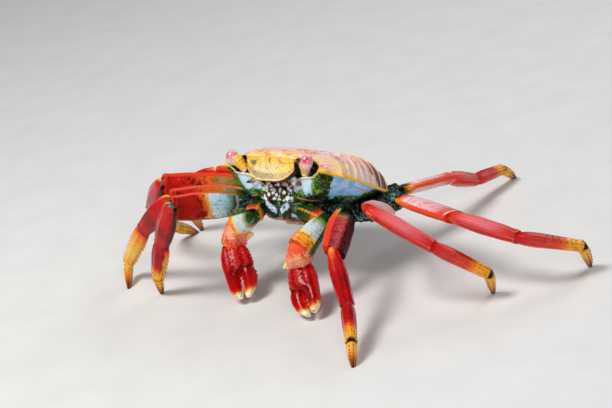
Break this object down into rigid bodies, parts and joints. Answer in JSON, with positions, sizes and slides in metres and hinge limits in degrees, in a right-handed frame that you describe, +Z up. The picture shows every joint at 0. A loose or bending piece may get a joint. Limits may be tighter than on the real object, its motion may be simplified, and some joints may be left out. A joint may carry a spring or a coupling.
{
  "type": "sally lightfoot crab model",
  "caption": "Life-size model of a sally lightfoot crab standing with its front raised, legs spread and claws hanging.",
  "frame": {"origin": "on the floor under the middle of the whole crab's box, between the feet", "axes": "+Z up, -Y the way the crab faces, +X towards the crab's own left side"},
  "size_m": [0.2518, 0.2068, 0.0705],
  "materials": {
    "red_shell": "glossy deep red shell with orange ridges, dark mottling and fine raised lines",
    "orange_shell": "glossy orange to yellow shell with dark spots and short dark bristles",
    "pale_shell": "glossy pale blue to white shell with green and orange patches",
    "dark_underside": "wet dark blue-green shell with silvery mottling",
    "pink_eye": "polished pink cornea on a pale yellow stalk"
  },
  "bodies": {
    "root": {"carapace": "red_shell", "thorax": "dark_underside", "abdomen": "pale_shell", "eye_left": "pink_eye", "antenna_left": "orange_shell", "maxilliped_left": "pale_shell", "leg_left_1_hip": "dark_underside", "leg_left_1_merus": "red_shell", "leg_left_1_carpus": "red_shell", "leg_left_1_propodus": "orange_shell", "leg_left_1_dactyl": "orange_shell", "leg_left_2_hip": "dark_underside", "leg_left_2_merus": "red_shell", "leg_left_2_carpus": "red_shell", "leg_left_2_propodus": "orange_shell", "leg_left_2_dactyl": "orange_shell", "leg_left_3_hip": "dark_underside", "leg_left_3_merus": "red_shell", "leg_left_3_carpus": "red_shell", "leg_left_3_propodus": "orange_shell", "leg_left_3_dactyl": "orange_shell", "leg_left_4_hip": "dark_underside", "leg_left_4_merus": "red_shell", "leg_left_4_carpus": "red_shell", "leg_left_4_propodus": "orange_shell", "leg_left_4_dactyl": "orange_shell", "claw_left_base": "dark_underside", "claw_left_arm": "pale_shell", "claw_left_wrist": "red_shell", "claw_left_palm": "red_shell", "claw_left_finger": "red_shell", "eye_right": "pink_eye", "antenna_right": "orange_shell", "maxilliped_right": "pale_shell", "leg_right_1_hip": "dark_underside", "leg_right_1_merus": "red_shell", "leg_right_1_carpus": "red_shell", "leg_right_1_propodus": "orange_shell", "leg_right_1_dactyl": "orange_shell", "leg_right_2_hip": "dark_underside", "leg_right_2_merus": "red_shell", "leg_right_2_carpus": "red_shell", "leg_right_2_propodus": "orange_shell", "leg_right_2_dactyl": "orange_shell", "leg_right_3_hip": "dark_underside", "leg_right_3_merus": "red_shell", "leg_right_3_carpus": "red_shell", "leg_right_3_propodus": "orange_shell", "leg_right_3_dactyl": "orange_shell", "leg_right_4_hip": "dark_underside", "leg_right_4_merus": "red_shell", "leg_right_4_carpus": "red_shell", "leg_right_4_propodus": "orange_shell", "leg_right_4_dactyl": "orange_shell", "claw_right_base": "dark_underside", "claw_right_arm": "pale_shell", "claw_right_wrist": "red_shell", "claw_right_palm": "red_shell", "claw_right_finger": "red_shell"}
  },
  "joints": []
}
